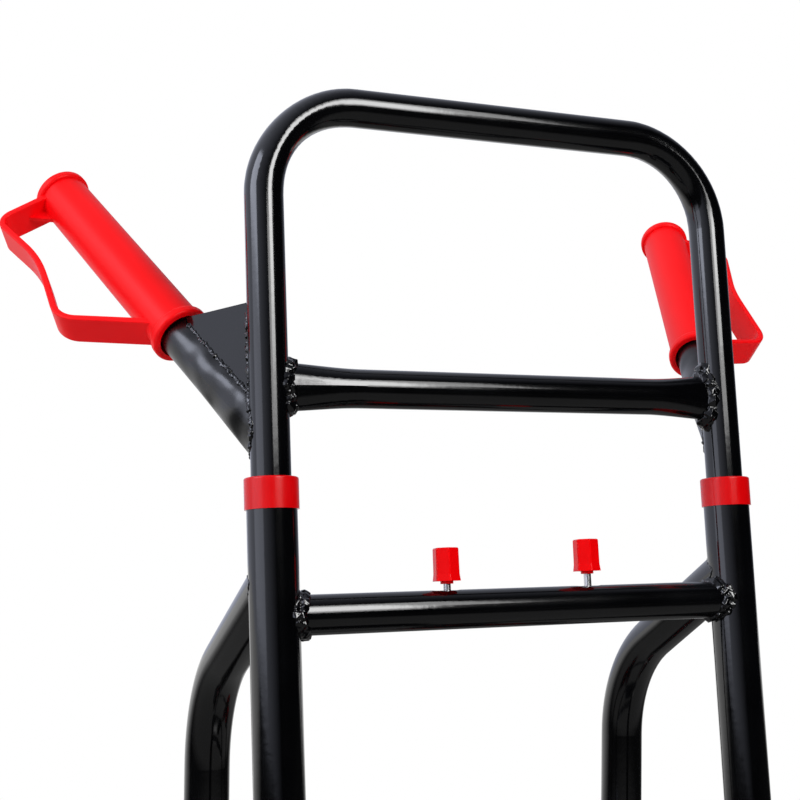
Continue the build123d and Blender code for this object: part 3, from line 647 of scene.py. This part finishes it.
def make_floor():
    """Pale floor that fades to white far off and shows white and grey in reflections."""
    mesh = bmesh.new()
    bmesh.ops.create_grid(mesh, x_segments=FLOOR_CELLS, y_segments=FLOOR_CELLS, size=FLOOR_HALF)
    data = bpy.data.meshes.new("floor")
    mesh.to_mesh(data)
    mesh.free()
    floor = bpy.data.objects.new("floor", data)
    floor.location.z = -FLOOR_DROP
    scene.collection.objects.link(floor)
    nodes = Nodes("pale_floor")
    clouds = nodes.noise(3.0, 3.0)
    nodes.colour(nodes.ramp(clouds, [(0.3, (0.80, 0.80, 0.80)), (0.7, (0.83, 0.83, 0.83))]))
    nodes.rough(nodes.spread(clouds, 0.65, 0.75))
    nodes.set(Specular_IOR_Level=0.2)
    tree = nodes.tree
    distance = nodes.add("ShaderNodeVectorMath", operation="LENGTH")
    nodes.link(nodes.place, distance.inputs[0])
    far = nodes.spread(distance.outputs["Value"], 0.0, 1.0, *FLOOR_FADE)
    split = nodes.add("ShaderNodeSeparateXYZ")
    nodes.link(nodes.place, split.inputs["Vector"])
    near = nodes.spread(distance.outputs["Value"], *FLOOR_GLOSS, *FRONT_FADE)
    gloss = math_of(tree, "MAXIMUM", near, nodes.spread(split.outputs["Y"], 0.0, 1.0, *REAR_FADE))
    plain = plain_rays(tree)
    white = nodes.add("ShaderNodeEmission")
    nodes.link(math_of(tree, "MAXIMUM", plain, gloss), white.inputs["Strength"])
    fade = math_of(tree, "MULTIPLY", far, plain)
    path = nodes.add("ShaderNodeLightPath")
    share = math_of(tree, "MAXIMUM", fade, path.outputs["Is Glossy Ray"])
    mix = nodes.add("ShaderNodeMixShader")
    nodes.link(share, mix.inputs["Fac"])
    nodes.link(nodes.shader.outputs["BSDF"], mix.inputs[1])
    nodes.link(white.outputs["Emission"], mix.inputs[2])
    output = next(node for node in tree.nodes if node.type == "OUTPUT_MATERIAL")
    nodes.link(mix.outputs["Shader"], output.inputs["Surface"])
    data.materials.append(nodes.material)


def make_world():
    """White where it is seen. Round the object it is pale rear left, dark right and cool in shine."""
    world = bpy.data.worlds.new("studio")
    scene.world = world
    world.use_nodes = True
    tree = world.node_tree
    tree.nodes.clear()
    place = tree.nodes.new("ShaderNodeTexCoord")
    slant = tree.nodes.new("ShaderNodeVectorMath")
    slant.operation = "DOT_PRODUCT"
    slant.inputs[1].default_value = ROOM_SLANT
    tree.links.new(place.outputs["Generated"], slant.inputs[0])
    room = tree.nodes.new("ShaderNodeMapRange")
    room.inputs["From Min"].default_value, room.inputs["From Max"].default_value = ROOM_FADE
    room.inputs["To Min"].default_value, room.inputs["To Max"].default_value = ROOM_LIGHT
    tree.links.new(slant.outputs["Value"], room.inputs["Value"])
    white = tree.nodes.new("ShaderNodeBackground")
    white.inputs["Color"].default_value = WHITE
    light = math_of(tree, "MAXIMUM", room.outputs["Result"], plain_rays(tree))
    tree.links.new(light, white.inputs["Strength"])
    cool = tree.nodes.new("ShaderNodeBackground")
    cool.inputs["Color"].default_value = ROOM_COLOUR
    tree.links.new(room.outputs["Result"], cool.inputs["Strength"])
    path = tree.nodes.new("ShaderNodeLightPath")
    mix = tree.nodes.new("ShaderNodeMixShader")
    tree.links.new(path.outputs["Is Glossy Ray"], mix.inputs["Fac"])
    tree.links.new(white.outputs["Background"], mix.inputs[1])
    tree.links.new(cool.outputs["Background"], mix.inputs[2])
    output = tree.nodes.new("ShaderNodeOutputWorld")
    tree.links.new(mix.outputs["Shader"], output.inputs["Surface"])


def soften(data, share):
    """Fades a lamp's light towards its four edges, over a share of its width and height."""
    data.use_nodes = True
    tree = data.node_tree
    emission = next(node for node in tree.nodes if node.type == "EMISSION")
    place = tree.nodes.new("ShaderNodeNewGeometry")
    split = tree.nodes.new("ShaderNodeSeparateXYZ")
    tree.links.new(place.outputs["Parametric"], split.inputs["Vector"])
    fades = []
    for axis in "XY":
        for edge, inner in ((0.0, share), (1.0, 1.0 - share)):
            fade = tree.nodes.new("ShaderNodeMapRange")
            fade.interpolation_type = "SMOOTHSTEP"
            fade.inputs["From Min"].default_value = edge
            fade.inputs["From Max"].default_value = inner
            tree.links.new(split.outputs[axis], fade.inputs["Value"])
            fades.append(fade.outputs["Result"])
    light = fades[0]
    for fade in fades[1:]:
        light = math_of(tree, "MULTIPLY", light, fade)
    tree.links.new(light, emission.inputs["Strength"])


def make_lamp(name, place, target, size, radiance, colour, soft):
    """Rectangular lamp that the camera doesn't see, of an even brightness or with soft edges."""
    data = bpy.data.lights.new(name, "AREA")
    data.shape = "RECTANGLE"
    data.size, data.size_y = size
    data.energy = radiance * math.pi * size[0] * size[1]
    data.color = colour
    if soft:
        soften(data, soft)
    lamp = bpy.data.objects.new(name, data)
    scene.collection.objects.link(lamp)
    lamp.location = place
    lamp.rotation_euler = (Vector(target) - Vector(place)).to_track_quat("-Z", "Y").to_euler()
    lamp.visible_camera = False


def make_camera():
    """Camera at the photo's view."""
    data = bpy.data.cameras.new("camera")
    data.sensor_width = CAMERA_SENSOR
    data.lens = CAMERA_LENS
    camera = bpy.data.objects.new("camera", data)
    scene.collection.objects.link(camera)
    forward = Vector(CAMERA_FORWARD).normalized()
    right = Vector(CAMERA_RIGHT).normalized()
    up = right.cross(forward).normalized()
    turn = Matrix((right, up, -forward)).transposed().to_4x4()
    camera.matrix_world = Matrix.Translation(CAMERA_PLACE) @ turn
    scene.camera = camera


make_floor()
make_world()
for lamp in LAMPS:
    make_lamp(*lamp)
make_camera()
